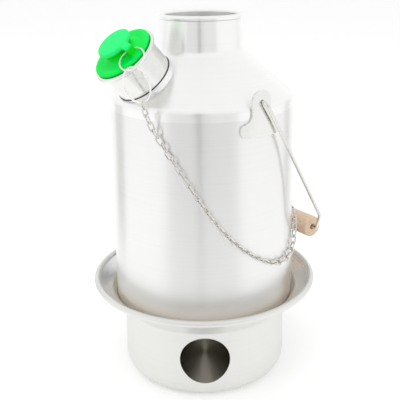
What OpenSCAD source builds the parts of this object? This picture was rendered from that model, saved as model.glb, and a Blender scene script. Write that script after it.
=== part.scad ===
// Storm kettle: a double-walled water jacket round a chimney, standing in a pressed fire base.
// The origin is on the ground under the middle of the fire base, +Z is up, and the fire hole faces -Y.
// The kettle is drawn in its own frame, with the spout towards -X and the ears at -Y and +Y,
// and then turned about Z on the fire base.

/* [Fire base] */
// Diameter over the rolled rim
rim_d = 185; // [178:0.5:200]
// Height of the middle of the rim's roll
rim_z = 79; // [77:0.5:86]
// Diameter of the rim's roll
rim_roll_d = 5; // [3:0.5:6]
// Diameter of the wall where it meets the rounded foot
foot_d = 136.4; // [130:0.2:140]
// Radius of the rounded foot
foot_r = 12.5; // [6:0.5:20]
// Width of the seat inside the kettle's edge, down to the base's wall
seat_w = 6.8; // [4.9:0.1:9.9]
// Height of the wall, where the seat begins
seat_z = 57; // [54:0.5:60]
// Width of the seat outside the kettle's edge, up to the bend of the flared rim
throat_w = 4.1; // [2.1:0.1:7.1]
// Height of that bend
throat_z = 71; // [69:0.5:74]
// Radius of the pressed bends
press_r = 4; // [2:0.5:6]
// Thickness of the base's sheet
base_sheet = 0.8; // [0.6:0.1:1.2]
// Diameter of the fire hole
hole_d = 39.4; // [30:0.2:42]
// Height of the middle of the fire hole
hole_z = 34; // [32:0.5:36]

/* [Kettle body] */
// Turn of the kettle on the fire base, in degrees
kettle_turn = 36; // [0:1:90]
// Diameter of the wall at its bottom edge
wall_d = 147.8; // [144:0.2:150]
// Diameter at the corner of the shoulder
shoulder_d = 144.2; // [141:0.2:147]
// Height of the wall from its bottom edge to the shoulder's corner
wall_h = 167; // [150:1:180]
// Radius of the shoulder's corner
shoulder_r = 6; // [3:0.5:8]
// Height of the sloping shoulder
shoulder_h = 34; // [30:0.5:38]
// How much wider the neck is where it leaves the shoulder than at its top
neck_flare = 3; // [1:0.2:7]
// Radius of the bend between shoulder and neck
neck_r = 5.8; // [3:0.2:7]
// Height of the neck with its rolled top
neck_h = 28.2; // [22:0.2:36]
// Thickness of the kettle's sheet
body_sheet = 0.7; // [0.5:0.1:0.8]
// Depth of the welded seam below the shoulder's corner
seam_drop = 8; // [5:0.5:9]

/* [Fire tube] */
// Bore of the chimney's mouth
mouth_d = 58.2; // [56:0.2:59]
// Diameter of the chimney's rolled top
bead_d = 3.8; // [3.2:0.1:4.4]
// Length of the straight bore below the mouth
mouth_l = 34; // [24:1:40]
// Width of the jacket at its bottom, between the wall and the fire tube's skirt
jacket_w = 9.9; // [7:0.1:18.9]
// Height of the skirt and of the bottom ring's flanges
skirt_h = 7; // [5:0.5:12]

/* [Spout] */
// Diameter of the spout's tube
spout_d = 45; // [40:0.2:46]
// Length of the spout from the middle of the shoulder's slope
spout_l = 26; // [22:0.1:32]
// How far the spout's rolled rim stands out from its tube
spout_lip = 3.2; // [2.4:0.1:3.2]
// Diameter of the spout rim's roll
spout_roll_d = 3.6; // [3.4:0.1:4]
// Thickness of the spout's sheet
spout_sheet = 0.8; // [0.6:0.1:1.2]

/* [Plug] */
// Diameter of the plug's flange
plug_d = 47.4; // [46.8:0.2:48.6]
// Thickness of the flange at its edge
plug_flange_t = 2.2; // [2:0.1:3]
// Length of the stem in the spout
plug_stem_l = 14; // [12:0.5:18]
// Diameter of the knob on top
knob_d = 27.6; // [25:0.2:29]
// Height of the knob above the flange's underside
knob_h = 13; // [12.6:0.1:16]
// Thickness of the knob's head
knob_t = 3.2; // [2.5:0.1:4]
// Diameter of the waist under the knob
waist_d = 20.4; // [18:0.2:22]
// Width of the arm that holds the ring
arm_w = 6; // [4:0.2:7]
// Thickness of the arm
arm_t = 3.2; // [2.6:0.1:3.4]
// Diameter of the steam vent
vent_d = 4; // [3:0.2:5]

/* [Whistle] */
// Diameter of the whistle's cup
cup_d = 16; // [14:0.5:20]
// Depth of the whistle's cup
cup_h = 8; // [6:0.5:9]
// Thickness of the whistle's sheet
cup_sheet = 0.6; // [0.4:0.1:0.8]
// Diameter of the whistle's holes
blow_d = 3; // [2:0.2:4]

/* [Handle] */
// Thickness of the ears
ear_t = 1.5; // [1:0.1:2]
// Height of the ears' eyes above the shoulder's corner
eye_rise = 4; // [3.5:0.1:5]
// Width of the ears' tabs
tab_w = 17.6; // [15:0.2:19]
// Width of the ears' feet
ear_foot_w = 36.6; // [32:0.2:40]
// Height of the ears' feet
ear_foot_h = 10.4; // [9:0.2:12]
// Depth of the middle of the feet below the eyes
ear_drop = 20; // [18:0.5:23]
// Radius between the tabs and the feet
ear_blend_r = 6; // [4:0.2:8]
// Thickness of the handle's wire
wire_d = 2.8; // [2.4:0.1:3.2]
// Distance of the handle's legs from the wall at the eyes
leg_out = 5.94; // [4.9:0.02:10]
// Distance of the legs' lower bends from the middle of the kettle
bend_y = 66; // [62:0.5:70]
// Distance of the legs' lower bends from the eyes
bend_reach = 126.5; // [120:0.5:130]
// Distance of the grip from the eyes
grip_reach = 150.5; // [145:0.5:160]
// Radius of the wire's bends
wire_r = 6; // [5:0.5:8]
// Diameter of the grip
grip_d = 18; // [16:0.5:21]
// Length of the grip
grip_l = 90; // [80:1:92]
// Bore of the grip
grip_bore = 4.6; // [4.2:0.1:5]
// Rounding of the grip's ends
grip_r = 1.6; // [0.8:0.1:3]

/* [Chain] */
// Thickness of the rings' wire
ring_wire = 1.4; // [1.2:0.1:1.6]
// Diameter of the small ring, at the middle of its wire
small_ring_d = 19.2; // [18.8:0.1:19.6]
// Diameter of the large ring, at the middle of its wire
large_ring_d = 25.6; // [25:0.1:27]
// Slit in each ring
ring_slit = 0.6; // [0.3:0.1:1]
// Thickness of the links' wire
link_wire = 1.3; // [1.1:0.1:1.4]
// Inner width of the links
link_w = 2.6; // [2.4:0.1:3]
// Distance from link to link
link_pitch = 6; // [5.6:0.1:6.6]
// Thickness of the chain's lug
lug_wire = 2; // [1.6:0.1:2.2]
// Reach of the lug from the wall
lug_reach = 5; // [4.5:0.1:6]
// Width of the lug
lug_w = 12; // [10:0.5:14]
// Height of the lug above the kettle's bottom edge
lug_z = 102; // [100:1:106]
// Angle of the lug from the front ear, in degrees
lug_turn = 86; // [84:1:88]

/* [Fits] */
// Gap between the kettle and its seat
seat_gap = 0.4; // [0.3:0.05:0.6]
// Gap between sheets that are joined
joint_gap = 0.1; // [0.05:0.01:0.2]
// Gap between the neck's top and the chimney inside it
neck_gap = 0.9; // [0.5:0.1:1.4]
// Gap between the plug's stem and the spout
plug_gap = 0.15; // [0.1:0.01:0.3]
// Gap between the handle's wire and the ears' eyes
eye_gap = 0.3; // [0.2:0.05:0.5]
// Gap between the grip and the wall at rest
grip_gap = 0.5; // [0.3:0.05:1]
// Gap between one link and the next
link_gap = 0.3; // [0.2:0.05:0.4]
// Gap between the chain and the wall
chain_gap = 0.4; // [0.3:0.05:0.8]

/* [Hidden] */
$fn = 64;
eps = 0.02;
// How far a wire's straight stretches reach into its bends, and how much thicker the bends are
lap = 0.2;
swell = 0.06;
steel = "#c9cac6";
polished = "#d8d9d6";
silicone = "#18d848";
beech = "#dcb990";

// Diameters that follow the piece they fit: seat, skirt, neck and the spout's rim
seat_d = wall_d - 2 * seat_w;
throat_d = wall_d + 2 * throat_w;
skirt_d = wall_d - 2 * jacket_w;
neck_top_d = mouth_d + 4 * body_sheet + 2 * neck_gap;
neck_d = neck_top_d + neck_flare;
spout_rim_d = spout_d + 2 * spout_lip;

// Heights of the kettle, worked out from the seat that it stands on
seat_dir = unit([throat_d / 2 - seat_d / 2, throat_z - seat_z]);
seat_in = [seat_d / 2, seat_z] + base_sheet * [-seat_dir.y, seat_dir.x];
kettle_z = seat_in.y + (wall_d / 2 - seat_in.x) * seat_dir.y / seat_dir.x + seat_gap;
shoulder_z = kettle_z + wall_h;
neck_z = shoulder_z + shoulder_h;
top_z = neck_z + neck_h;
seam_z = shoulder_z - seam_drop;
bead_z = top_z - bead_d / 2;

// Spout: square to the shoulder's slope, at its middle
slope_x = (shoulder_d + neck_d) / 4;
slope_z = (shoulder_z + neck_z) / 2;
spout_tilt = 90 - atan2((shoulder_d - neck_d) / 2, shoulder_h);
spout_bore = spout_d - 2 * spout_sheet;
plug_s = spout_l + plug_gap;
// Arm of the plug: its drop under the knob's head, and the reach and drop of its bend beyond the knob
arm_start = 0.6;
arm_reach = 2.2;
arm_drop = 1.4;
// Depth of the whistle in the stem's end, and height of its disc's lip
cup_in = 1.5;
disc_lip = 1.6;

// Handle: its eyes, and the angle at which its grip leans on the wall
eye_z = shoulder_z + eye_rise;
eye_d = wire_d + 2 * eye_gap;
ear_foot_z = eye_z - ear_drop;
leg_y = wall_r(eye_z) + leg_out;
grip_x = wall_d / 2 + grip_d / 2 + grip_gap;
rest_angle = asin(grip_x / grip_reach);
// Each leg's end stands inside the wall's line behind its ear, with a flat head that holds it in the eye
head_d = eye_d + 0.8;
head_t = 0.9;
stub_y = wall_r(eye_z) + joint_gap - eye_gap - pow(head_d, 2) / (4 * wall_d);

// Places of the rings in the spout's frame: up the slope, sideways and along the spout
small_ring_at = [-4.6, -21.4, plug_s + plug_flange_t + 1];
small_ring_turn = [14.7, -3.2, 0];
large_ring_at = [-17.4, -31.9, plug_s + plug_flange_t - 9.4];
large_ring_turn = [62, 78, 0];

// The lowest point of the large ring, where the chain hangs
ring_mid = [-slope_x, 0, slope_z] + from_spout(large_ring_at);
ring_axis = from_spout([cos(large_ring_turn.x) * sin(large_ring_turn.y), -sin(large_ring_turn.x),
    cos(large_ring_turn.x) * cos(large_ring_turn.y)]);
ring_down = unit([0, 0, -1] + ring_axis * ring_axis.z);
hang = ring_mid + ring_down * large_ring_d / 2;

// Chain: angle from the front ear towards the lug, height above the kettle's edge, distance from the wall
chain_out = ((link_w + link_wire) * sqrt(1 / 2) + link_wire) / 2 + chain_gap;
chain_route = [
    [atan2(hang.x, -hang.y), hang.z - kettle_z, norm([hang.x, hang.y]) - wall_r(hang.z)],
    [-65, 166, 9],
    [-63, 154, 5],
    [-59, 144, chain_out],
    [-50, 126.5, chain_out],
    [-40, 105.5, chain_out],
    [-30, 86, chain_out],
    [-20, 70, chain_out],
    [-8, 56, chain_out],
    [6, 45, chain_out],
    [20, 40.5, chain_out],
    [33, 43, chain_out],
    [41, 50, chain_out],
    [48, 57, chain_out],
    [55, 61.5, chain_out],
    [62, 65, chain_out],
    [69, 69, chain_out],
    [75, 75, chain_out],
    [lug_turn - 6, lug_z - 20, chain_out + chain_gap],
    [lug_turn - 1.6, lug_z - 8.5, (chain_out + lug_reach) / 2],
    [lug_turn, lug_z, lug_reach]
];
route_steps = 10;
link_l = link_pitch + link_gap;
// Turn of the links about the route on the wall, and the length over which it changes at each end
wall_roll = 135;
roll_l = 40;

// Outlines
function unit(v) = v / norm(v);
function from_spout(v) = [v.x * cos(spout_tilt) - v.z * sin(spout_tilt), v.y,
    v.x * sin(spout_tilt) + v.z * cos(spout_tilt)];
function flat(p) = [p.x, p.y];
function turned(v, a) = [v.x * cos(a) - v.y * sin(a), v.x * sin(a) + v.y * cos(a)];
function reversed(p) = [for (i = [len(p) - 1:-1:0]) p[i]];

// Half of the angle between the two sides that meet at b
function half_angle(a, b, c) = acos(unit(a - b) * unit(c - b)) / 2;
function bend_centre(a, b, c, r) = b + unit(unit(a - b) + unit(c - b)) * r / sin(half_angle(a, b, c));
function bend_start(a, b, c, r) = b + unit(a - b) * r / tan(half_angle(a, b, c));
function bend_sweep(a, b, c) = -sign(cross(a - b, c - b)) * (180 - 2 * half_angle(a, b, c));
function bend(a, b, c, r, n = 6) =
    let (o = bend_centre(a, b, c, r), s = bend_start(a, b, c, r) - o, sweep = bend_sweep(a, b, c))
    [for (k = [0:n]) o + turned(s, sweep * k / n)];

// Points [x, y, r] joined by straight lines, with a bend of radius r at each inner point
function rounded(p) = [for (i = [0:len(p) - 1]) each
    i == 0 || i == len(p) - 1 || p[i][2] == 0 ? [flat(p[i])] :
    bend(flat(p[i - 1]), flat(p[i]), flat(p[i + 1]), p[i][2])];

// The outline of a sheet of thickness t on the left of a path
function left(a, b) = let (d = unit(b - a)) [-d.y, d.x];
function beside(p, t) = [for (i = [0:len(p) - 1])
    let (j = max(i - 1, 0), k = min(i, len(p) - 2), m = left(p[j], p[j + 1]), n = left(p[k], p[k + 1]))
    p[i] + (m + n) * t / (1 + m * n)];
function sheet(p, t) = concat(p, reversed(beside(p, t)));

// Outer radius of the kettle's wall, which tapers a little
function wall_r(z) = wall_d / 2 + (shoulder_d - wall_d) / 2 * (z - kettle_z) / wall_h;

base_path = rounded([
    [0, 0, 0],
    [foot_d / 2, 0, foot_r],
    [seat_d / 2, seat_z, press_r],
    [throat_d / 2, throat_z, press_r],
    [rim_d / 2 - rim_roll_d / 2, rim_z, 0]
]);
shoulder_path = rounded([
    [wall_r(seam_z), seam_z, 0],
    [shoulder_d / 2, shoulder_z, shoulder_r],
    [neck_d / 2, neck_z, neck_r],
    [neck_top_d / 2, top_z - bead_d - joint_gap, 0]
]);
tube_path = rounded([
    [skirt_d / 2, kettle_z + body_sheet + joint_gap, 0],
    [skirt_d / 2, kettle_z + skirt_h, press_r],
    [mouth_d / 2 + body_sheet, top_z - mouth_l, press_r],
    [mouth_d / 2 + body_sheet, bead_z, 0]
]);

// The kettle's own frame, and the spout's frame in it
module kettle() {
    rotate([0, 0, kettle_turn]) children();
}
module at_spout() {
    translate([-slope_x, 0, slope_z]) rotate([0, -spout_tilt, 0]) children();
}

// A round wire along points [x, y, r] in one plane
module rod(p, d) {
    last = len(p) - 1;
    for (i = [0:last - 1]) {
        a = i == 0 ? flat(p[0]) : bend_start(flat(p[i + 1]), flat(p[i]), flat(p[i - 1]), p[i][2]);
        b = i == last - 1 ? flat(p[last]) : bend_start(flat(p[i]), flat(p[i + 1]), flat(p[i + 2]), p[i + 1][2]);
        start = i == 0 ? 0 : lap;
        end = i == last - 1 ? 0 : lap;
        translate([a.x, a.y, 0])
            rotate([0, 0, atan2(b.y - a.y, b.x - a.x)]) translate([-start, 0, 0])
                rotate([0, 90, 0]) cylinder(d = d, h = norm(b - a) + start + end);
    }
    for (i = [1:last - 1]) {
        o = bend_centre(flat(p[i - 1]), flat(p[i]), flat(p[i + 1]), p[i][2]);
        s = bend_start(flat(p[i - 1]), flat(p[i]), flat(p[i + 1]), p[i][2]) - o;
        sweep = bend_sweep(flat(p[i - 1]), flat(p[i]), flat(p[i + 1]));
        translate([o.x, o.y, 0])
            rotate([0, 0, atan2(s.y, s.x) + min(sweep, 0)])
                rotate_extrude(angle = abs(sweep)) translate([p[i][2], 0]) circle(d = d + swell);
    }
}

// A ring of round wire with a slit
module ring(d, wire) {
    slit = ring_slit / (PI * d) * 360;
    rotate_extrude(angle = 360 - slit) translate([d / 2, 0]) circle(d = wire);
}

module fire_base() {
    color(steel) difference() {
        rotate_extrude() {
            polygon(sheet(base_path, base_sheet));
            translate([rim_d / 2 - rim_roll_d / 2, rim_z]) circle(d = rim_roll_d);
        }
        translate([0, 0, hole_z]) rotate([90, 0, 0]) cylinder(d = hole_d, h = rim_d / 2);
    }
}

module outer_wall() {
    path = [[wall_r(kettle_z), kettle_z], [wall_r(seam_z), seam_z]];
    color(steel) kettle() rotate_extrude() polygon(sheet(path, body_sheet));
}

module shoulder() {
    color(steel) kettle() difference() {
        rotate_extrude() polygon(sheet(shoulder_path, body_sheet));
        at_spout() translate([0, 0, -spout_l / 2]) cylinder(d = spout_bore, h = spout_l);
    }
}

module fire_tube() {
    color(steel) kettle() rotate_extrude() {
        polygon(sheet(tube_path, body_sheet));
        translate([mouth_d / 2 + bead_d / 2, bead_z]) circle(d = bead_d);
    }
}

module bottom_ring() {
    inner = skirt_d / 2 + joint_gap;
    high = kettle_z + skirt_h;
    room = body_sheet + joint_gap;
    path = [[inner, high], [inner, kettle_z], [wall_r(kettle_z) - room, kettle_z], [wall_r(high) - room, high]];
    color(steel) kettle() rotate_extrude() polygon(sheet(path, body_sheet));
}

module spout() {
    color(polished) kettle() difference() {
        at_spout() difference() {
            union() {
                translate([0, 0, -spout_l / 2]) cylinder(d = spout_d, h = 1.5 * spout_l - spout_roll_d / 2);
                translate([0, 0, spout_l - spout_roll_d / 2])
                    rotate_extrude() translate([(spout_rim_d - spout_roll_d) / 2, 0]) circle(d = spout_roll_d);
            }
            translate([0, 0, -spout_l / 2 - eps]) cylinder(d = spout_bore, h = 2 * spout_l);
        }
        rotate_extrude() polygon(concat([[0, seam_z]], shoulder_path, [[0, top_z]]));
    }
}

// One ear, on the -Y side: a curved plate with a rounded tab above a wider foot
module ear_outline() {
    foot_top = ear_foot_z + ear_foot_h / 2;
    lobe_x = (ear_foot_w - ear_foot_h) / 2;
    translate([0, eye_z]) circle(d = tab_w);
    translate([-tab_w / 2, ear_foot_z]) square([tab_w, eye_z - ear_foot_z]);
    translate([-lobe_x, ear_foot_z - ear_foot_h / 2]) square([2 * lobe_x, ear_foot_h]);
    for (side = [-1, 1]) {
        translate([side * lobe_x, ear_foot_z]) circle(d = ear_foot_h);
        difference() {
            translate([side * (tab_w + ear_blend_r) / 2, foot_top + ear_blend_r / 2])
                square(ear_blend_r, center = true);
            translate([side * (tab_w / 2 + ear_blend_r), foot_top + ear_blend_r]) circle(r = ear_blend_r);
        }
    }
}
module ear() {
    low = ear_foot_z - ear_foot_h;
    high = eye_z + tab_w;
    path = [[wall_r(low) + ear_t + joint_gap, low], [wall_r(high) + ear_t + joint_gap, high]];
    difference() {
        intersection() {
            rotate_extrude() polygon(sheet(path, ear_t));
            rotate([90, 0, 0]) linear_extrude(wall_d) ear_outline();
        }
        translate([0, 0, eye_z]) rotate([90, 0, 0]) cylinder(d = eye_d, h = wall_d);
    }
}
module ear_front() {
    color(polished) kettle() ear();
}
module ear_rear() {
    color(polished) kettle() mirror([0, 1, 0]) ear();
}

module chain_lug() {
    side = (lug_w - lug_wire) / 2;
    path = [[-lug_reach, -side, 0], [lug_reach, -side, lug_wire], [lug_reach, side, lug_wire],
        [-lug_reach, side, 0]];
    z = kettle_z + lug_z;
    color(polished) kettle() difference() {
        rotate([0, 0, lug_turn - 90]) translate([wall_r(z), 0, z]) rod(path, lug_wire);
        rotate_extrude() polygon([[0, kettle_z], [wall_r(kettle_z), kettle_z], [wall_r(seam_z), seam_z], [0, seam_z]]);
    }
}

// The handle hangs from the eyes and leans towards +X until its grip meets the wall
module at_bail() {
    translate([0, 0, eye_z]) rotate([0, 180 - rest_angle, 0]) rotate([90, 0, 90]) children();
}
module bail() {
    hold_y = grip_l / 2 + wire_r * 2 / 3;
    end_y = stub_y - head_t / 2;
    path = [[-end_y, 0, 0], [-leg_y, 0, wire_r * 2 / 3], [-bend_y, bend_reach, wire_r],
        [-hold_y, grip_reach, wire_r], [hold_y, grip_reach, wire_r], [bend_y, bend_reach, wire_r],
        [leg_y, 0, wire_r * 2 / 3], [end_y, 0, 0]];
    color(polished) kettle() at_bail() {
        rod(path, wire_d);
        for (side = [-1, 1])
            translate([side * end_y, 0, 0])
                rotate([0, 90, 0]) cylinder(d = head_d, h = head_t, center = true);
    }
}
module grip() {
    path = rounded([[0, -grip_l / 2, 0], [grip_d / 2, -grip_l / 2, grip_r], [grip_d / 2, grip_l / 2, grip_r],
        [0, grip_l / 2, 0]]);
    color(beech) kettle() at_bail() translate([0, grip_reach, 0]) rotate([0, 90, 0]) difference() {
        rotate_extrude() polygon(path);
        cylinder(d = grip_bore, h = grip_l + 2, center = true);
    }
}

// The plug, from the underside of its flange upwards, with a raised edge, a dished top and a
// mushroom knob; the whistle's pocket is below, and an arm from knob to flange holds the small ring
module plug_turned() {
    stem_r = spout_bore / 2 - plug_gap;
    flange_r = plug_d / 2;
    chamfer = 1.5;
    edge_w = 2.6;
    edge_h = 0.4;
    dish_w = 6;
    dish_h = 0.6;
    rotate_extrude() polygon(rounded([
        [0, -plug_stem_l, 0],
        [stem_r - chamfer, -plug_stem_l, 0],
        [stem_r, chamfer - plug_stem_l, 0],
        [stem_r, 0, 0],
        [flange_r, 0, plug_flange_t / 3],
        [flange_r, plug_flange_t, plug_flange_t / 3],
        [flange_r - edge_w, plug_flange_t + edge_h, edge_w / 2],
        [waist_d / 2 + dish_w, plug_flange_t - dish_h, dish_w / 2],
        [waist_d / 2 + dish_w / 4, plug_flange_t + 2 * dish_h, dish_w / 2],
        [waist_d / 2, knob_h - 2 * knob_t, knob_t / 2],
        [knob_d / 2, knob_h - knob_t, knob_t / 4],
        [knob_d / 2 - edge_h, knob_h - edge_h, knob_t / 4],
        [0, knob_h, 0]
    ]));
}
module plug_arm() {
    under = [
        [waist_d / 2, knob_h - knob_t - arm_start, 0],
        [knob_d / 2 + arm_reach, knob_h - arm_t - arm_drop, arm_t / 2],
        [plug_d / 2 - arm_t, plug_flange_t / 2, 0]
    ];
    rotate([90, 0, -90]) linear_extrude(arm_w, center = true) polygon(sheet(rounded(under), arm_t));
}
module plug() {
    color(silicone) kettle() at_spout() translate([0, 0, plug_s]) difference() {
        union() {
            plug_turned();
            plug_arm();
        }
        translate([0, 0, -plug_stem_l - eps]) cylinder(d = cup_d, h = cup_h + cup_in);
        translate([0, 0, -plug_stem_l]) cylinder(d = vent_d, h = plug_stem_l + knob_h / 2);
        translate([0, 0, knob_h / 2]) rotate([0, 90, 0]) cylinder(d = vent_d, h = knob_d);
    }
}
module whistle_cup() {
    r = cup_d / 2 - joint_gap;
    path = [[r, cup_in], [r, cup_in + cup_h - joint_gap], [blow_d / 2, cup_in + cup_h - joint_gap]];
    color(polished) kettle() at_spout() translate([0, 0, plug_s - plug_stem_l])
        rotate_extrude() polygon(sheet(path, cup_sheet));
}
module whistle_disc() {
    r = cup_d / 2 - cup_sheet - 2 * joint_gap;
    path = [[r, cup_in], [r, cup_in + disc_lip], [blow_d / 2, cup_in + disc_lip]];
    color(polished) kettle() at_spout() translate([0, 0, plug_s - plug_stem_l])
        rotate_extrude() polygon(sheet(path, cup_sheet));
}

module small_ring() {
    color(polished) kettle() at_spout() translate(small_ring_at) rotate(small_ring_turn)
        ring(small_ring_d, ring_wire);
}
module large_ring() {
    color(polished) kettle() at_spout() translate(large_ring_at) rotate(large_ring_turn)
        ring(large_ring_d, ring_wire);
}

// The chain's route as a smooth curve through its points, with its length from the ring
function on_wall(q) =
    let (z = kettle_z + q[1], r = wall_r(z) + q[2]) [r * sin(q[0]), -r * cos(q[0]), z];
function spline(a, b, c, d, t) =
    (2 * b + (c - a) * t + (2 * a - 5 * b + 4 * c - d) * t * t + (3 * b - a - 3 * c + d) * t * t * t) / 2;
route_last = len(chain_route) - 1;
route = [for (k = [0:route_last * route_steps])
    let (i = min(floor(k / route_steps), route_last - 1))
    on_wall(spline(chain_route[max(i - 1, 0)], chain_route[i], chain_route[i + 1],
        chain_route[min(i + 2, route_last)], k / route_steps - i))];
function run(i) = i == 0 ? [0] :
    let (before = run(i - 1)) concat(before, before[i - 1] + norm(route[i] - route[i - 1]));
route_at = run(len(route) - 1);
route_l = route_at[len(route) - 1];
function along(s, k) = lookup(s, [for (i = [0:len(route) - 1]) [route_at[i], route[i][k]]]);
function place(s) = [along(s, 0), along(s, 1), along(s, 2)];

first_s = link_l / 2 - ring_wire / 2 - link_gap;
last_s = route_l - (link_l / 2 - lug_wire / 2 - link_gap);
link_count = round((last_s - first_s) / link_pitch) + 1;
function link_s(i) = first_s + (last_s - first_s) * i / (link_count - 1);
// Directions along the route, away from the kettle's axis and across, at a length along the route
function route_dir(s) = unit(place(s + 1) - place(s - 1));
function route_out(s) =
    let (p = place(s), t = route_dir(s)) unit([p.x, p.y, 0] - t * (t * [p.x, p.y, 0]));
function route_side(s) = cross(route_dir(s), route_out(s));

// Turn of the links about the route: square to the ring and to the lug, and on edge along the wall
ring_wire_dir = cross(ring_axis, ring_down);
ring_turn = atan2(-route_out(first_s) * ring_wire_dir, route_side(first_s) * ring_wire_dir);
ring_roll = wall_roll - 90 + (ring_turn - wall_roll + 450) % 180;
lug_roll = 180 - 90 * ((link_count - 1) % 2);
function link_roll(s) =
    lookup(s, [[0, ring_roll], [roll_l, wall_roll], [route_l - roll_l, wall_roll], [route_l, lug_roll]]);

module chain_link() {
    straight = link_l - link_w;
    for (side = [-1, 1]) {
        translate([-straight / 2, side * (link_w + link_wire) / 2, 0])
            rotate([0, 90, 0]) cylinder(d = link_wire, h = straight);
        translate([side * straight / 2, 0, 0]) rotate([0, 0, -90 * side])
            rotate_extrude(angle = 180) translate([(link_w + link_wire) / 2, 0]) circle(d = link_wire);
    }
}
module chain_links() {
    color(polished) kettle() for (i = [0:link_count - 1]) {
        s = link_s(i);
        p = place(s);
        t = route_dir(s);
        a = link_roll(s) + 90 * (i % 2);
        m = route_out(s) * cos(a) + route_side(s) * sin(a);
        n = cross(t, m);
        multmatrix([[t.x, m.x, n.x, p.x], [t.y, m.y, n.y, p.y], [t.z, m.z, n.z, p.z], [0, 0, 0, 1]])
            chain_link();
    }
}

fire_base();
outer_wall();
shoulder();
fire_tube();
bottom_ring();
spout();
ear_front();
ear_rear();
chain_lug();
bail();
grip();
plug();
whistle_cup();
whistle_disc();
small_ring();
large_ring();
chain_links();
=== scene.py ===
# %% [markdown]
# # A storm kettle in a white tent
# A storm kettle is a water jacket round a chimney, standing in a fire base. Its solid model is loaded
# here as a fixed frame, and each piece is dressed in place: sheet metal with rolled edges, bent wire, a
# turned grip, a moulded plug and a chain. The kettle's lengths are in millimetres until they become a
# mesh. Camera, floor, cards and lamp are placed in metres.

# %% The frame
import math

import bmesh
import bpy
from mathutils import Matrix, Vector


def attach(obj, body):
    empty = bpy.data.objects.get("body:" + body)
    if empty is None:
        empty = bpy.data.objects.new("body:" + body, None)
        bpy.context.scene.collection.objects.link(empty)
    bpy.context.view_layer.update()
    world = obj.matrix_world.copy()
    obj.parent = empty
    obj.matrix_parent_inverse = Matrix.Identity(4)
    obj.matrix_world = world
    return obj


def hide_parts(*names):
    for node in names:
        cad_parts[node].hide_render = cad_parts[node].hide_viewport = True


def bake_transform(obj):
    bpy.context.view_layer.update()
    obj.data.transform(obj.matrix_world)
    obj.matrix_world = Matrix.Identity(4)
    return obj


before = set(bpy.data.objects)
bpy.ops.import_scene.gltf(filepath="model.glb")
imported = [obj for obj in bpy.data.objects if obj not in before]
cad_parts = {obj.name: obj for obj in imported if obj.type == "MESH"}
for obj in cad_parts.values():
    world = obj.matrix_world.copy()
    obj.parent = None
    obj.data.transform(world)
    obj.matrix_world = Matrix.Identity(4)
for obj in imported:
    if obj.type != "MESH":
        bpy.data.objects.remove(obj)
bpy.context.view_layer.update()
scene = bpy.context.scene
scene.view_settings.view_transform = "Standard"
MM = 0.001
print("nodes:", ", ".join(sorted(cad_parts)))

# %% [markdown]
# ## The camera
# The photograph was taken from a little above the kettle's mouth, close enough for the base's rim to
# look wider than the shoulder. Its focal length, height and tilt were worked out from the ellipses of
# the rim, foot and neck. The shift stands for a picture that was cropped off its middle.

# %% Camera
IMAGE_PX, SENSOR_MM = 400, 36
focal_px = 710.8
axis_px = (202.4, 155)
camera_at = (0, -0.5557, 0.34525)
camera_tilt, camera_roll = 16.345, -0.743


def rotated(degrees, axis):
    return Matrix.Rotation(math.radians(degrees), 4, axis)


data = bpy.data.cameras.new("camera")
data.sensor_width = SENSOR_MM
data.lens = focal_px * SENSOR_MM / IMAGE_PX
data.shift_x = (IMAGE_PX / 2 - axis_px[0]) / IMAGE_PX
data.shift_y = (axis_px[1] - IMAGE_PX / 2) / IMAGE_PX
camera = bpy.data.objects.new("camera", data)
camera.matrix_world = (Matrix.Translation(camera_at) @ rotated(90 - camera_tilt, "X")
                       @ rotated(camera_roll, "Z"))
scene.collection.objects.link(camera)
scene.camera = camera
print("lens", round(data.lens, 2), "mm")

# %% [markdown]
# ## Colours and nodes
# Colours are written as they look on a screen, as sRGB hex values, and shaders count in linear light,
# so one function turns the first into the second. A second one adds a node with its settings and
# links. A third begins a material: an output, and one shader that the finishes below fill in.

# %% Helpers for finishes
def linear(colour):
    parts = [int(colour[i:i + 2], 16) / 255 for i in (1, 3, 5)]
    return [p / 12.92 if p <= 0.04045 else ((p + 0.055) / 1.055) ** 2.4 for p in parts] + [1]


def add(tree, kind, inputs=(), **settings):
    node = tree.nodes.new("ShaderNode" + kind)
    for name, value in settings.items():
        setattr(node, name, value)
    for key, value in dict(inputs).items():
        if isinstance(value, bpy.types.NodeSocket):
            tree.links.new(value, node.inputs[key])
        else:
            node.inputs[key].default_value = value
    return node


def finish(name, **constants):
    material = bpy.data.materials.new(name)
    material.use_nodes = True
    tree = material.node_tree
    tree.nodes.clear()
    shader = add(tree, "BsdfPrincipled")
    add(tree, "OutputMaterial", {"Surface": shader.outputs[0]})
    for key, value in constants.items():
        shader.inputs[key.replace("_", " ")].default_value = value
    return material, tree, shader


def feed(tree, shader, sockets):
    for key, value in sockets.items():
        tree.links.new(value, shader.inputs[key])


print("steel grey in linear light:", [round(v, 3) for v in linear("#e8e8e5")[:3]])

# %% [markdown]
# Most finishes are a pattern, a colour and a roughness that follow it, and a slight relief. Each of these
# is a node or two, so each gets a short name: a place on the object, a pattern stretched to a size, a mix
# of two colours, a ramp from one value to another, and a bump.

# %% Helpers for patterns
def position(tree):
    return add(tree, "TexCoord").outputs["Object"]


def stretched(tree, size, rotation=(0, 0, 0)):
    inputs = {"Vector": position(tree), "Rotation": rotation, "Scale": [length * MM for length in size]}
    return add(tree, "Mapping", inputs, vector_type="TEXTURE").outputs[0]


def noise(tree, at, scale, detail):
    return add(tree, "TexNoise", {"Vector": at, "Scale": scale, "Detail": detail}).outputs[0]


def mix(tree, factor, low, high):
    return add(tree, "Mix", {0: factor, 6: low, 7: high}, data_type="RGBA").outputs[2]


def ramp(tree, value, start, end, low=0, high=1, kind="LINEAR"):
    inputs = {0: value, 1: start, 2: end, 3: low, 4: high}
    return add(tree, "MapRange", inputs, interpolation_type=kind).outputs[0]


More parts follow.
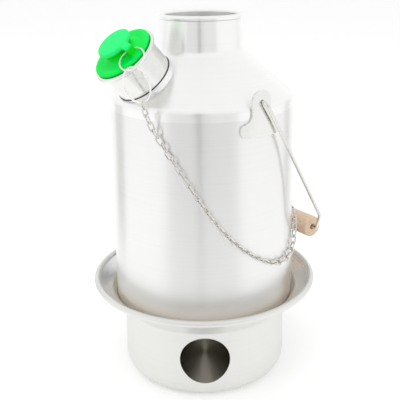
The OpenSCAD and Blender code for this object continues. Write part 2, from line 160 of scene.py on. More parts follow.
def bump(tree, height, strength, depth):
    return add(tree, "Bump", {"Strength": strength, "Distance": depth * MM, "Height": height}).outputs[0]


noise_span = (0.3, 0.7)
print("noise keeps mostly between", *noise_span)

# %% [markdown]
# ## Brushed stainless steel
# The jacket is stainless sheet, brushed while it turns on a lathe. The scratches run round the kettle,
# so they smear reflections up and down and leave them sharp from side to side: a tall bright or dark
# band is what the eye reads as brushed steel. The shader's tangent goes round the axis, and a quarter
# turn of its anisotropy sends the blur up and down. Real scratches are a twentieth of a millimetre
# apart, too fine to show, so they are drawn 1.2 mm apart and faint.

# %% Brushed steel
scratch_length, scratch_depth, scratch_relief = 90, 0.01, 0.015
quarter_turn = 0.25


def brushed(name, bright, dull, rough, spacing, smear):
    material, tree, shader = finish(name, Metallic=1, Anisotropic=smear, Anisotropic_Rotation=quarter_turn)
    lines = noise(tree, stretched(tree, (scratch_length, scratch_length, spacing)), 1, 3)
    tone = mix(tree, lines, linear(dull), linear(bright))
    feed(tree, shader, {
        "Base Color": tone,
        "Roughness": ramp(tree, lines, *noise_span, *rough),
        "Normal": bump(tree, lines, scratch_relief, scratch_depth),
        "Tangent": add(tree, "Tangent", direction_type="RADIAL", axis="Z").outputs[0]})
    return material, tree, shader, tone


jacket_steel, tree, shader, steel_tone = brushed(
    "brushed_stainless_painted_foot_reflection", "#f2f2f1", "#ececeb", rough=(0.28, 0.32), spacing=1.2, smear=0.85)
print(jacket_steel.name, len(tree.nodes), "nodes")

# %% [markdown]
# The wall's lowest edge stands in the base, next to the fire. A warm, darker straw colour there is a painted
# reflection of the base's shaded flare, and it fades out over about two centimetres.

# %% Painted reflection at the jacket's foot
foot_reflection_low, foot_reflection_high, foot_reflection_most = 66, 92, 0.45
height = add(tree, "SeparateXYZ", {0: position(tree)}).outputs["Z"]
foot_reflection_mask = ramp(tree, height, foot_reflection_low * MM, foot_reflection_high * MM, foot_reflection_most, 0, "SMOOTHSTEP")
# The straw colour is a painted reflection of the shaded flare, mixed into the steel near the foot.
feed(tree, shader, {"Base Color": mix(tree, foot_reflection_mask, steel_tone, linear("#d2bc9c"))})
print("tinted up to", foot_reflection_high, "mm")

# %% [markdown]
# Shoulder and chimney are spun like the wall, and their colour is a little brighter than the wall's, as
# painted light on the same steel. The base is spun too, but left matte outside. The inside of its flare stays
# bright, and the fire chamber below is rougher and smears what it mirrors; its darker, warmer colour is
# painted shade. Handle and chain are bright drawn wire, with a smooth skin that mirrors the tent. Spout and
# ears are polished, the rings are plated with nickel, and the weld bead's dark grey is a painted shadow line
# at the spout's foot.

# %% The other metals
# The shoulder's brighter colour is painted light: it is the same steel, brushing and roughness as the wall.
shoulder_steel_painted_light = brushed("spun_stainless_painted_light", "#fbfbfa", "#f5f5f4",
                         rough=(0.28, 0.32), spacing=1.2, smear=0.85)[0]
base_steel = brushed("spun_matte_stainless", "#ececea", "#e5e5e2",
                     rough=(0.46, 0.52), spacing=1.6, smear=0.3)[0]
flare_steel = brushed("pressed_bright_stainless", "#f4f4f2", "#ededeb",
                      rough=(0.26, 0.32), spacing=1.6, smear=0.6)[0]
# Inside the base the steel is rougher, and its darker, warmer colour is painted shade.
inner_steel_painted_shade = brushed("inner_stainless_painted_shade", "#dcd6c8", "#cfc9bb",
                      rough=(0.44, 0.5), spacing=2, smear=0.97)[0]
patch_size = 3


def drawn(name, bright, dull, rough):
    material, tree, shader = finish(name, Metallic=1)
    patches = noise(tree, position(tree), 1 / (patch_size * MM), 2)
    feed(tree, shader, {"Base Color": mix(tree, patches, linear(dull), linear(bright)),
                        "Roughness": ramp(tree, patches, *noise_span, *rough)})
    return material


bright_wire = drawn("bright_drawn_wire", "#eceae6", "#d6d3ce", rough=(0.1, 0.2))
polished_sheet = drawn("polished_stainless", "#eeeeec", "#e4e4e1", rough=(0.12, 0.2))
plated_wire = drawn("nickel_plated_wire", "#fefdfa", "#f6f4f0", rough=(0.22, 0.3))
# The weld bead's dark grey is a painted shadow line along the gap at the spout's foot.
weld_painted_shadow = drawn("weld_bead_painted_shadow", "#5d5a56", "#45423f", rough=(0.4, 0.6))
print("metals:", ", ".join(material.name for material in bpy.data.materials))

# %% [markdown]
# ## From mesh to piece
# Each mesh becomes a piece in the same way: it is put in its place, gets smooth shading except at sharp
# edges, rides on the body that carries it, and stands for its solid. The kettle is turned by 36 degrees
# on its base, so whatever belongs to it is drawn straight and turned at the end.

# %% Helpers for pieces
kettle_turn, sharp_edge = 36, 35
kettle = rotated(kettle_turn, "Z")


def as_object(name, bm):
    mesh = bpy.data.meshes.new(name)
    bm.to_mesh(mesh)
    bm.free()
    obj = bpy.data.objects.new(name, mesh)
    scene.collection.objects.link(obj)
    return obj


def piece(name, bm, materials, body, nodes=(), place=Matrix()):
    bmesh.ops.transform(bm, matrix=place, verts=bm.verts[:])
    obj = as_object(name, bm)
    for material in materials:
        obj.data.materials.append(material)
    obj.data.shade_smooth()
    obj.data.set_sharp_from_angle(angle=math.radians(sharp_edge))
    if body:
        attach(obj, body)
    if nodes:
        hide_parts(*nodes)
    print(name, len(obj.data.polygons), "faces")
    return obj


print("the kettle stands turned by", kettle_turn, "degrees")

# %% [markdown]
# ## The chain
# The chain hangs from the large ring, crosses the wall in a slack curve and goes up again to a lug
# behind the right edge. Its route is given as on a map of the wall: an angle from the front ear, a height
# above the jacket's lower edge and a distance from the wall. A smooth curve passes through these points.
# It begins at the lowest point of the large ring, which hangs in the spout's frame.

# %% Where the chain hangs
kettle_z, wall_h, wall_low_r, wall_taper = 67.436, 167, 73.9, 1.8
spout_at, spout_tilt = (-52.5, 0, 251.436), 40.936
ring_at, ring_lean, ring_turn, ring_r = (-17.4, -31.9, 18.95), 78, 62, 12.8


def wall_r(z):
    return wall_low_r - wall_taper * (z - kettle_z) / wall_h


spout_frame = Matrix.Translation(spout_at) @ rotated(-spout_tilt, "Y")
ring_frame = (spout_frame @ Matrix.Translation(ring_at) @ rotated(ring_lean, "Y")
              @ rotated(ring_turn, "X"))
ring_axis = ring_frame.col[2].xyz
ring_down = (Vector((0, 0, -1)) + ring_axis * ring_axis.z).normalized()
hang = ring_frame.translation + ring_down * ring_r
print("the chain hangs at", [round(v, 1) for v in hang])

# %% The chain's route
link_wire, link_w, link_pitch, link_gap = 1.3, 2.6, 6, 0.3
wall_gap = 0.4
lug_turn, lug_z, lug_reach = 86, 102, 5
near = ((link_w + link_wire) * math.sqrt(0.5) + link_wire) / 2 + wall_gap
rows = [(math.degrees(math.atan2(hang.x, -hang.y)), hang.z - kettle_z, hang.xy.length - wall_r(hang.z)),
        (-65, 166, 9), (-63, 154, 5), (-59, 144, near), (-50, 126.5, near), (-40, 105.5, near),
        (-30, 86, near), (-20, 70, near), (-8, 56, near), (6, 45, near), (20, 40.5, near), (33, 43, near),
        (41, 50, near), (48, 57, near), (55, 61.5, near), (62, 65, near), (69, 69, near), (75, 75, near),
        (lug_turn - 6, lug_z - 20, near + wall_gap),
        (lug_turn - 1.6, lug_z - 8.5, (near + lug_reach) / 2),
        (lug_turn, lug_z, lug_reach)]
print(len(rows), "points on the wall's map")


# %% The route as a curve
def on_wall(q):
    z = kettle_z + q.y
    r = wall_r(z) + q.z
    return Vector((r * math.sin(math.radians(q.x)), -r * math.cos(math.radians(q.x)), z))


route_steps = 10
marks = [Vector(row) for row in rows]
route = []
for i in range(len(marks) - 1):
    a, b, c, d = (marks[min(max(k, 0), len(marks) - 1)] for k in range(i - 1, i + 3))
    for k in range(route_steps):
        t = k / route_steps
        route.append(on_wall((2 * b + (c - a) * t + (2 * a - 5 * b + 4 * c - d) * t ** 2
                              + (3 * b - a - 3 * c + d) * t ** 3) / 2))
route.append(on_wall(marks[-1]))
run = [0]
for a, b in zip(route, route[1:]):
    run.append(run[-1] + (b - a).length)


def spot(s):
    s = min(max(s, 0), run[-1])
    i = next(k for k in range(1, len(run)) if run[k] >= s)
    return route[i - 1].lerp(route[i], (s - run[i - 1]) / (run[i] - run[i - 1]))


print("route", round(run[-1], 1), "mm")

# %% [markdown]
# Each link is a ring of wire pulled long: a small circle is spun into a ring, and its two halves are moved
# apart. The circle starts half a step beside the axis, so no point lies between the halves. A full spin
# serves every turned piece below as well.

# %% One link
merge_dist = 1e-6


def moved(x, y, z):
    return Matrix.Translation((x * MM, y * MM, z * MM))


def turn(bm, steps):
    bmesh.ops.spin(bm, geom=bm.verts[:] + bm.edges[:], axis=(0, 0, 1), angle=2 * math.pi, steps=steps,
                   use_merge=True)
    bmesh.ops.remove_doubles(bm, verts=bm.verts[:], dist=merge_dist)
    bmesh.ops.recalc_face_normals(bm, faces=bm.faces[:])
    outer = max(bm.faces, key=lambda face: face.calc_center_median().xy.length)
    if outer.normal.xy.dot(outer.calc_center_median().xy) < 0:
        bmesh.ops.reverse_faces(bm, faces=bm.faces[:])


link_sides, link_steps = 8, 24
link_l = link_pitch + link_gap
half_step = 180 / link_steps
link_bm = bmesh.new()
bmesh.ops.create_circle(
    link_bm, radius=link_wire / 2 * MM, segments=link_sides,
    matrix=rotated(half_step, "Z") @ moved((link_w + link_wire) / 2, 0, 0) @ rotated(90, "X"))
turn(link_bm, link_steps)
for vert in link_bm.verts:
    vert.co.x += math.copysign((link_l - link_w) / 2 * MM, vert.co.x)
link_mesh = bpy.data.meshes.new("chain_link")
link_bm.to_mesh(link_mesh)
link_bm.free()
print("link", len(link_mesh.polygons), "faces")


# %% [markdown]
# Every second link stands crosswise to the one before. On the wall they lie at 45 degrees to it, and near
# the ring and the lug they turn, over a few links, to lie across the wire that holds them.

# %% The links' places
def directions(s):
    ahead = (spot(s + 1) - spot(s - 1)).normalized()
    p = spot(s)
    out = Vector((p.x, p.y, 0))
    out = (out - ahead * ahead.dot(out)).normalized()
    return ahead, out, ahead.cross(out)


ring_wire, lug_wire = 1.4, 2
first = link_l / 2 - ring_wire / 2 - link_gap
last = run[-1] - (link_l / 2 - lug_wire / 2 - link_gap)
count = round((last - first) / link_pitch) + 1
across = ring_axis.cross(ring_down)
ahead, out, side = directions(first)
ring_roll = 45 + (math.degrees(math.atan2(-out.dot(across), side.dot(across))) + 315) % 180
wall_roll, roll_length = 135, 40
lug_roll = 180 - 90 * ((count - 1) % 2)


def roll(s):
    stops = [(0, ring_roll), (roll_length, wall_roll), (run[-1] - roll_length, wall_roll),
             (run[-1], lug_roll)]
    for (s0, r0), (s1, r1) in zip(stops, stops[1:]):
        if s <= s1:
            return r0 + (r1 - r0) * (s - s0) / (s1 - s0)


def links(low, high):
    bm = bmesh.new()
    for i in range(count):
        s = first + (last - first) * i / (count - 1)
        if low <= s < high:
            ahead, out, side = directions(s)
            a = math.radians(roll(s) + 90 * (i % 2))
            m = out * math.cos(a) + side * math.sin(a)
            place = Matrix((ahead, m, ahead.cross(m))).transposed().to_4x4()
            place.translation = spot(s) * MM
            known = len(bm.verts)
            bm.from_mesh(link_mesh)
            bm.verts.ensure_lookup_table()
            bmesh.ops.transform(bm, matrix=place, verts=bm.verts[known:])
    return bm


print(count, "links")

# %% [markdown]
# When the plug is pulled, the chain's upper part goes along while the lug keeps its end. So the chain
# is cut into three meshes: the first between kettle and plug, the second between plug and small ring, the
# third between small ring and large ring.

# %% The chain in three lengths
ring_end, split_high, split_low, loop_low = 3, 33, 77, 165
chain_low, chain_mid, chain_top = (
    piece(name, links(low, high), [bright_wire], None, ["chain_links"], kettle)
    for name, low, high in (("chain_low", split_low, run[-1]), ("chain_mid", split_high, split_low),
                            ("chain_top", 0, split_high)))


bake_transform(chain_low)
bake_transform(chain_mid)
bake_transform(chain_top)

# %% [markdown]
# ## Sheet metal
# A bowl, a wall or a tube begins as a profile: a wire of straight stretches whose corners are bevelled
# into arcs. Each row below is a radius, a height and, at a bend, its own radius. Spun once round the axis
# the profile becomes a skin, and solidify gives it the sheet's thickness on the inside. The normals are
# set before that, because solidify takes its direction from them. A rolled edge is a ring of its own.

# %% Helpers for turned sheet
bend_steps, round_steps, roll_sides = 8, 192, 20


def profile(bm, rows):
    points = [Vector((row[0] * MM, 0, row[1] * MM)) for row in rows]
    verts = [bm.verts.new(p) for p in points]
    for pair in zip(verts, verts[1:]):
        bm.edges.new(pair)
    for i in range(1, len(rows) - 1):
        if len(rows[i]) > 2:
            half = (points[i - 1] - points[i]).angle(points[i + 1] - points[i]) / 2
            bmesh.ops.bevel(bm, geom=[verts[i]], offset=rows[i][2] * MM / math.tan(half),
                            offset_type="OFFSET", segments=bend_steps, profile=0.5, affect="VERTICES",
                            material=-1)


def sheet(rows, thickness, steps=round_steps, longest=6):
    bm = bmesh.new()
    profile(bm, rows)
    for edge in bm.edges[:]:
        cuts = int(edge.calc_length() / (longest * MM))
        if cuts:
            bmesh.ops.subdivide_edges(bm, edges=[edge], cuts=cuts)
    turn(bm, steps)
    bmesh.ops.solidify(bm, geom=bm.faces[:], thickness=thickness * MM)
    return bm


def join(bm, other):
    mesh = bpy.data.meshes.new("joined")
    other.to_mesh(mesh)
    other.free()
    bm.from_mesh(mesh)
    bpy.data.meshes.remove(mesh)


def roll_of(bm, radius, height, diameter, steps=round_steps):
    ring = bmesh.new()
    bmesh.ops.create_circle(ring, radius=diameter / 2 * MM, segments=roll_sides,
                            matrix=moved(radius, 0, height) @ rotated(90, "X"))
    turn(ring, steps)
    join(bm, ring)


print("each bend in", bend_steps, "steps, each turn in", round_steps)

# %% [markdown]
# Holes are punched with a rod: a Boolean takes the rod's volume away. A Boolean is a modifier, so both
# meshes become objects for a moment, and what the modifier makes of them is read back.

# %% Helpers for holes
def rod(radius, depth, place, sides):
    bm = bmesh.new()
    bmesh.ops.create_cone(bm, cap_ends=True, segments=sides, radius1=radius * MM, radius2=radius * MM,
                          depth=depth * MM, matrix=place)
    return bm


def evaluated(obj):
    bm = bmesh.new()
    bm.from_object(obj, bpy.context.evaluated_depsgraph_get())
    bpy.data.meshes.remove(obj.data)
    return bm


def cut(bm, tool):
    body, cutter = as_object("cutting", bm), as_object("cutting", tool)
    boolean = body.modifiers.new("cut", "BOOLEAN")
    boolean.operation = "DIFFERENCE"
    boolean.solver = "EXACT"
    boolean.object = cutter
    result = evaluated(body)
    bpy.data.meshes.remove(cutter.data)
    return result


hole_sides = 96
print("holes have", hole_sides, "sides")

# %% [markdown]
# ## The fire base
# A bowl pressed from one sheet: flat foot, nearly straight wall, a seat for the jacket, a flared rim that
# ends in a roll. The fire hole is punched through its wall, so it is cut by a Boolean after the spin. The
# skin is finely divided, which keeps the faces round the hole small and its shading clean.

# %% Fire base
base_sheet, base_wall_top = 0.8, 57
rim_r, rim_z, rim_roll = 90, 79, 5
hole_r, hole_z, hole_reach = 19.7, 34, 60
base_rows = [[0, 0], [68.2, 0, 12.5], [67.1, base_wall_top, 4], [78, 71, 1], [rim_r, rim_z]]
hole = rod(hole_r, hole_reach, moved(0, -hole_reach, hole_z) @ rotated(90, "X"), hole_sides)
base = cut(sheet(base_rows, base_sheet, steps=240, longest=2.5), hole)
OUTSIDE, CHAMBER, FLARE = 0, 1, 2
for face in base.faces:
    middle = face.calc_center_median()
    inner = face.normal.xy.dot(middle.xy) < 0 or face.normal.z > 0.5
    inner_finish = CHAMBER if middle.z < base_wall_top * MM else FLARE
    face.material_index = inner_finish if inner else OUTSIDE
roll_of(base, rim_r, rim_z, rim_roll)
piece("bowl_of_the_base", base, [base_steel, inner_steel_painted_shade, flare_steel], "fire_base", ["fire_base"])

# %% [markdown]
# ## The jacket
# The outer wall tapers a little. The shoulder above it has a rounded corner, a slope and the neck, and
# the fire tube inside is a cone that ends in the chimney's rolled mouth. The shoulder is pierced where
# the spout stands on it.

# %% Wall and shoulder
body_sheet, seam_z, neck_top_z = 0.7, 226.436, 292.736
wall_top = [wall_r(seam_z), seam_z]
slope = [wall_top, [72.1, 234.436, 6], [32.9, 268.436, 5.8], [31.4, neck_top_z]]
piece("jacket_wall", sheet([[wall_r(kettle_z), kettle_z], wall_top], body_sheet),
      [jacket_steel], "kettle", ["outer_wall"], kettle)
spout_place = moved(*spout_frame.translation) @ spout_frame.to_3x3().to_4x4()
pierced_r, pierced_depth = 21.7, 26
bore = rod(pierced_r, pierced_depth, spout_place, hole_sides)
piece("jacket_shoulder", cut(sheet(slope, body_sheet, longest=3), bore), [shoulder_steel_painted_light],
      "kettle", ["shoulder"], kettle)

# %% Fire tube
skirt_r, mouth_r, mouth_z = 64, 29.8, 294.736
mouth_roll_r, mouth_roll = 31, 3.8
tube = sheet([[skirt_r, 68.236], [skirt_r, 74.436, 4], [mouth_r, 262.636, 4], [mouth_r, mouth_z]], body_sheet)
roll_of(tube, mouth_roll_r, mouth_z, mouth_roll)
piece("chimney", tube, [shoulder_steel_painted_light], "kettle", ["fire_tube"], kettle)

# %% [markdown]
# ## The spout
# A short tube stands square on the slope, with a rolled rim. Its foot follows the cone of the shoulder, so
# the tube is made too long and the shoulder's whole inside is cut away from it. The slope is drawn up a
# little round the tube, into a low collar that is cut in the same way. The rim's roll overlaps the tube,
# which a Boolean can't take apart reliably, so it is added after the cut.

# %% Spout
spout_r, spout_sheet, spout_steps = 22.5, 0.8, 128
spout_low, spout_rim_z = -13, 24.2
spout_roll_r, spout_roll = 23.9, 3.6


def on_slope(bm):
    bmesh.ops.transform(bm, matrix=spout_place, verts=bm.verts[:])
    inside = bmesh.new()
    profile(inside, [[0, seam_z]] + slope + [[0, neck_top_z]])
    turn(inside, round_steps)
    return cut(bm, inside)


spout = bmesh.new()
profile(spout, [[spout_r, spout_low], [spout_r, spout_rim_z]])
turn(spout, spout_steps)
bmesh.ops.solidify(spout, geom=spout.faces[:], thickness=spout_sheet * MM)
spout = on_slope(spout)
bmesh.ops.transform(spout, matrix=spout_place.inverted(), verts=spout.verts[:])
roll_of(spout, spout_roll_r, spout_rim_z, spout_roll, spout_steps)
piece("pouring_spout", spout, [polished_sheet], "kettle", ["spout"], kettle @ spout_place)

# %% Collar
collar_top = 0.9
collar = bmesh.new()
profile(collar, [[spout_r, collar_top], [22.8, collar_top], [22.9, -1.2, 4], [24.4, -3.6], [spout_r, -8],
                 [spout_r, collar_top]])
turn(collar, spout_steps)
piece("spout_collar", on_slope(collar), [shoulder_steel_painted_light], "kettle", (), kettle)

# %% [markdown]
# The weld between the tube and its collar is a thin bead, and its dark grey is a painted shadow line along
# the gap at the spout's foot. A wire is drawn as a curve with a round section and made a mesh; the handle
# uses the same helper.

# %% Weld round the spout's foot
def wire(points, diameter, closed=False):
    curve = bpy.data.curves.new("wire", "CURVE")
    curve.dimensions = "3D"
    curve.bevel_depth = diameter / 2 * MM
    curve.bevel_resolution = 3
    curve.use_fill_caps = not closed
    spline = curve.splines.new("POLY")
    spline.points.add(len(points) - 1)
    spline.use_cyclic_u = closed
    for place, point in zip(spline.points, points):
        place.co = (*(Vector(point) * MM), 1)
    obj = bpy.data.objects.new("wire", curve)
    scene.collection.objects.link(obj)
    bm = bmesh.new()
    bm.from_mesh(obj.to_mesh())
    obj.to_mesh_clear()
    bpy.data.curves.remove(curve)
    bmesh.ops.remove_doubles(bm, verts=bm.verts[:], dist=merge_dist)
    bmesh.ops.recalc_face_normals(bm, faces=bm.faces[:])
    return bm


bead_r, bead_d, bead_steps = 22.6, 1, 72
angles = [2 * math.pi * k / bead_steps for k in range(bead_steps)]
bead = [spout_frame @ Vector((bead_r * math.cos(a), bead_r * math.sin(a), collar_top)) for a in angles]
piece("spout_weld_painted_shadow", wire(bead, bead_d, closed=True), [weld_painted_shadow], "kettle", (), kettle)

# %% [markdown]
# ## The bail and its grip
# The bail is one bent wire. Its path is drawn flat, with a true arc at each bend, and a round section is
# carried along it. The ends go through the ears' eyes and carry small heads behind them. The whole
# handle hangs from the eyes and leans on the wall at the angle that the grip allows.

# %% The bail's path
eye_z, bail_lean, bail_reach, bend_reach = 238.436, 33.65, 150.5, 126.5
end_y, leg_y, bend_y, hold_y = 71.38, 77.997, 66, 49
bail_place = (kettle @ moved(0, 0, eye_z) @ rotated(180 - bail_lean, "Y") @ rotated(90, "Z")
              @ rotated(90, "X"))


def bent(rows):
    bm = bmesh.new()
    profile(bm, rows)
    start = Vector((rows[0][0], 0, rows[0][1])) * MM
    here = min(bm.verts, key=lambda v: (v.co - start).length)
    points, edge = [here.co / MM], None
    while True:
        onward = [e for e in here.link_edges if e is not edge]
        if not onward:
            break
        edge = onward[0]
        here = edge.other_vert(here)
        points.append(here.co / MM)
    bm.free()
    return [(p.x, p.z, 0) for p in points]


bail_path = bent([[-end_y, 0], [-leg_y, 0, 4], [-bend_y, bend_reach, 6], [-hold_y, bail_reach, 6],
                  [hold_y, bail_reach, 6], [bend_y, bend_reach, 6], [leg_y, 0, 4], [end_y, 0]])
print("the bail's path has", len(bail_path), "points")

# %% Bail
bail_d, head_r, head_l, head_sides = 2.8, 2.1, 0.9, 32
bail = wire(bail_path, bail_d)
for end in (-end_y, end_y):
    join(bail, rod(head_r, head_l, moved(end, 0, 0) @ rotated(90, "Y"), head_sides))
piece("bail_wire", bail, [bright_wire], "bail", ["bail"], bail_place)

# %% [markdown]
# The grip is turned from beech. Its pale pink-brown wood shows short dark flecks along the grain, and a
# darker, open bore at each end where the wire goes in. Grain and flecks are two noises, both stretched
# along the grip, which lies across the kettle and so is turned with it.

# %% Beech
grain_size, fleck_size = (2.2, 50, 2.2), (0.9, 3.2, 0.9)
along_grip = (0, 0, math.radians(kettle_turn))
beech, tree, shader = finish("turned_beech", Roughness=0.55, IOR=1.5)
grain = noise(tree, stretched(tree, grain_size, along_grip), 1, 4)
flecks = ramp(tree, noise(tree, stretched(tree, fleck_size, along_grip), 1, 1), 0.62, 0.7, 0, 0.55)
wood = mix(tree, grain, linear("#eac6a0"), linear("#fce8cf"))
feed(tree, shader, {"Base Color": mix(tree, flecks, wood, linear("#a87548")),
                    "Normal": bump(tree, grain, 0.4, 0.1)})
print(beech.name, len(tree.nodes), "nodes")

# %% Grip
grip_r, grip_half, grip_bore, bore_edge = 9, 45, 2.3, 0.6
chamfer_r, chamfer_at, grip_round = grip_bore + bore_edge, grip_half - bore_edge, 1.6
grip = bmesh.new()
profile(grip, [[grip_bore, -chamfer_at], [chamfer_r, -grip_half], [grip_r, -grip_half, grip_round],
               [grip_r, grip_half, grip_round], [chamfer_r, grip_half], [grip_bore, chamfer_at],
               [grip_bore, -chamfer_at]])
turn(grip, 64)
piece("beech_grip", grip, [beech], "grip", ["grip"],
      bail_place @ moved(0, bail_reach, 0) @ rotated(90, "Y"))

# %% [markdown]
# ## The plug
# The plug is moulded in soft green silicone. Its knob is painted paler green, as painted light on its top,
# and the waist between flange and knob deeper green, as painted shade under the knob. The colour is blended
# by how far a place lies along the plug's axis, measured from the flange.

# %% Silicone
plug_seat = 26.15
waist_shade_span, knob_light_span = (2.5, 6), (8, 11)
cloud_size, skin_size = 9, 0.8
plug_place = kettle @ spout_place @ moved(0, 0, plug_seat)
silicone, tree, shader = finish("silicone_painted_light_and_shade", Roughness=0.5, IOR=1.41, Specular_IOR_Level=0.15)
at = position(tree)
from_flange = add(tree, "VectorMath", {0: at, 1: plug_place.translation}, operation="SUBTRACT").outputs[0]
rise = add(tree, "VectorMath", {0: from_flange, 1: plug_place.col[2].xyz},
           operation="DOT_PRODUCT").outputs["Value"]
# Masks along the axis: painted shade at the waist, painted light on the knob.
waist_shade_mask, knob_light_mask = (ramp(tree, rise, low * MM, high * MM, kind="SMOOTHSTEP")
                     for low, high in (waist_shade_span, knob_light_span))
flange = mix(tree, noise(tree, at, 1 / (cloud_size * MM), 2), linear("#00f04a"), linear("#10fc6e"))
# The waist's deeper green is painted shade under the knob; the knob's paler green is painted light on its
# top.
waist_painted_shade = mix(tree, waist_shade_mask, flange, linear("#00dc14"))
feed(tree, shader, {"Base Color": mix(tree, knob_light_mask, waist_painted_shade, linear("#30ff86")),
                    "Normal": bump(tree, noise(tree, at, 1 / (skin_size * MM), 2), 0.2, 0.05)})
print(silicone.name, len(tree.nodes), "nodes")

# %% [markdown]
# The plug has a stem, a flange with a dished top, a mushroom knob and an arm from the knob to the flange
# for the ring. The turned body and the arm, a bent strip, are made apart. A fine remesh then melts them
# together, and a little smoothing leaves the soft inner corners that a mould gives.

# %% The plug's body
plug_steps = 128
plug = bmesh.new()
profile(plug, [[0, -14], [20.05, -14, 0.5], [21.55, -12.5, 0.5], [21.55, 0], [23.7, 0, 0.73],
               [23.7, 2.2, 0.73], [21.1, 2.6, 1.3], [16.2, 1.6, 3], [11.7, 3.4, 3], [10.2, 6.6, 1.6],
               [13.8, 9.8, 0.8], [13.4, 12.6, 0.8], [0, 13]])
turn(plug, plug_steps)
print("the plug's body has", len(plug.faces), "faces")

# %% The plug's arm
arm_w, arm_thick = 6, 3.2
arm = bmesh.new()
profile(arm, [[9, 9.37], [16, 8.4, 1.6], [20.5, 1.1]])
strip = bmesh.ops.extrude_edge_only(arm, edges=arm.edges[:])["geom"]
far_side = [v for v in strip if isinstance(v, bmesh.types.BMVert)]
bmesh.ops.translate(arm, verts=far_side, vec=(0, arm_w * MM, 0))
bmesh.ops.translate(arm, verts=arm.verts[:], vec=(0, -arm_w / 2 * MM, 0))
bmesh.ops.recalc_face_normals(arm, faces=arm.faces[:])
arm.faces.ensure_lookup_table()
if arm.faces[0].normal.z > 0:
    bmesh.ops.reverse_faces(arm, faces=arm.faces[:])
bmesh.ops.solidify(arm, geom=arm.faces[:], thickness=arm_thick * MM)
bmesh.ops.transform(arm, matrix=rotated(-90, "Z"), verts=arm.verts[:])
join(plug, arm)
print("with its arm", len(plug.faces), "faces")

# %% Melted together
voxel, smoothings = 0.4, 4
lump = as_object("lump", plug)
melt = lump.modifiers.new("melt", "REMESH")
melt.mode = "VOXEL"
melt.voxel_size = voxel * MM
plug = evaluated(lump)
for _ in range(smoothings):
    bmesh.ops.smooth_vert(plug, verts=plug.verts[:], factor=0.5, use_axis_x=True, use_axis_y=True,
                          use_axis_z=True)
print("melted", len(plug.faces), "faces")

# %% [markdown]
# The whistle sits in the stem's end. Its steam leaves through a narrow vent along the axis and a second
# one that opens below the knob.

# %% The whistle's seat and vents
whistle_r, vent_r, vent_sides = 8, 2, 48
for radius, depth, place in ((whistle_r, 9.52, moved(0, 0, -9.26)),
                             (vent_r, 20.5, moved(0, 0, -3.75)),
                             (vent_r, 27.6, moved(13.8, 0, 6.5) @ rotated(90, "Y"))):
    plug = cut(plug, rod(radius, depth, place, vent_sides))
piece("silicone_plug", plug, [silicone], "plug", ["plug"], plug_place)

# %% [markdown]
# ## Solids that stay
# The rings, the ears, the lug, the whistle and the ring that closes the jacket have their right shape
# in the solid model already. They only get a finish; the ring that closes the jacket gets the inner steel,
# whose darker colour is painted shade.

# %% Finishes for the solids
for node, material in {"small_ring": plated_wire, "large_ring": plated_wire, "chain_lug": bright_wire,
                       "ear_front": polished_sheet, "ear_rear": polished_sheet,
                       "whistle_cup": polished_sheet, "whistle_disc": polished_sheet,
                       "bottom_ring": inner_steel_painted_shade}.items():
    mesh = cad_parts[node].data
    mesh.materials.clear()
    mesh.materials.append(material)
    print(node, "in", material.name)

# %% [markdown]
# ## A white tent
# The photograph was taken in a white tent. A white floor runs forward to just before the camera, the
# world is white all round, and one large soft lamp above gives the floor a faint shadow. To the camera and
# in reflections, floor and world glow a little more than they light, so the background comes out white.

# %% Floor and world
def shown(tree, hidden, seen):
    path = add(tree, "LightPath").outputs
    either = add(tree, "Math", {0: path["Is Camera Ray"], 1: path["Is Glossy Ray"]}, operation="MAXIMUM")
    any_of = add(tree, "Math", {0: either.outputs[0], 1: path["Is Transmission Ray"]}, operation="MAXIMUM")
    return ramp(tree, any_of.outputs[0], 0, 1, hidden, seen)


def panel(name, colour, x, y, z):
    material, tree, shader = finish(name, Base_Color=linear(colour), Roughness=0.9, Specular_IOR_Level=0.2)
    bm = bmesh.new()
    bmesh.ops.create_grid(bm, x_segments=1, y_segments=1, size=0.5)
    flat = "Y" if x[0] == x[1] else "X" if y[0] == y[1] else "Z"
    size = [max(high - low, 1e-9) for low, high in (x, y, z)]
    bmesh.ops.rotate(bm, verts=bm.verts[:], matrix=Matrix.Rotation(math.radians(-90), 3, flat))
    bmesh.ops.scale(bm, verts=bm.verts[:], vec=size)
    bmesh.ops.translate(bm, verts=bm.verts[:], vec=[(low + high) / 2 for low, high in (x, y, z)])
    obj = as_object(name, bm)
    obj.data.materials.append(material)
    return obj, tree, shader


white = linear("#ffffff")
floor_glow, world_light, world_seen = 0.24, 0.75, 1
floor, tree, shader = panel("floor", "#fafafa", (-4, 4), (-0.5, 6), (0, 0))
shader.inputs["Emission Color"].default_value = white
feed(tree, shader, {"Emission Strength": shown(tree, 0, floor_glow)})
tent = bpy.data.worlds.new("tent")
scene.world = tent
tent.use_nodes = True
tree = tent.node_tree
tree.nodes.clear()
sky = add(tree, "Background", {"Color": white, "Strength": shown(tree, world_light, world_seen)})
add(tree, "OutputWorld", {"Surface": sky.outputs[0]})
print("floor and world")

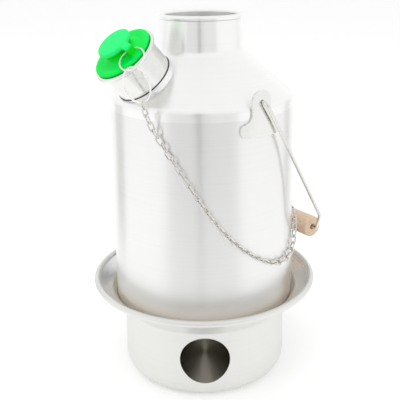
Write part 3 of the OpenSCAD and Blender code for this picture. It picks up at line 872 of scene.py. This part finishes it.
# %% [markdown]
# Bright metal shows what stands round it, so the tent gets cards that are seen only in reflections. Behind
# the camera the tent is open: a pale card low down and a greyer one above it, which the upright neck
# mirrors, stand for that, each with a darker strip for a seam that shows as a thin line down the front.
# An apron covers the floor before the base. Two low cards close behind the kettle, left and right, draw a
# soft line down each edge of the wall, and two grey ones straight behind it darken the flare's inside.

# %% Cards
for name, colour, x, y, z in (
        ("card", "#fcfcfc", (-1.25, 1.25), (-1.3, -1.3), (-0.6, 0.1)),
        ("card_seam", "#c2c2c2", (-0.11, -0.02), (-1.28, -1.28), (-0.6, 0.1)),
        ("opening", "#ececec", (-1.05, 0.25), (-1.3, -1.3), (0.1, 0.6)),
        ("opening_side", "#fefefe", (0.25, 1.2), (-1.3, -1.3), (0.1, 0.6)),
        ("opening_seam", "#808080", (-0.18, 0), (-1.28, -1.28), (0.1, 0.6)),
        ("apron", "#fefefe", (-0.28, 0.28), (-0.5, -0.2), (0.001, 0.001)),
        ("left_edge", "#fafafa", (-0.32, -0.32), (0.08, 0.25), (0, 0.23)),
        ("right_edge", "#fafafa", (0.32, 0.32), (0.14, 0.3), (0, 0.23)),
        ("backdrop_left", "#c6c6c6", (-0.07, 0), (0.3, 0.3), (0.07, 0.3)),
        ("backdrop_right", "#a0a0a0", (0, 0.07), (0.3, 0.3), (0.07, 0.3))):
    card = panel(name, colour, x, y, z)[0]
    card.visible_camera = card.visible_diffuse = card.visible_shadow = False
    print(name)

# %% Lamp
lamp_at, lamp_lean, lamp_size, lamp_power = (-0.3, -0.5, 1.8), 17, 1.6, 9
lamp_data = bpy.data.lights.new("soft_box", "AREA")
lamp_data.shape = "RECTANGLE"
lamp_data.size = lamp_data.size_y = lamp_size
lamp_data.energy = lamp_power
lamp = bpy.data.objects.new("soft_box", lamp_data)
lamp.matrix_world = Matrix.Translation(lamp_at) @ rotated(lamp_lean, "X")
lamp.visible_camera = lamp.visible_glossy = False
scene.collection.objects.link(lamp)
print("lamp of", lamp_power, "watts")
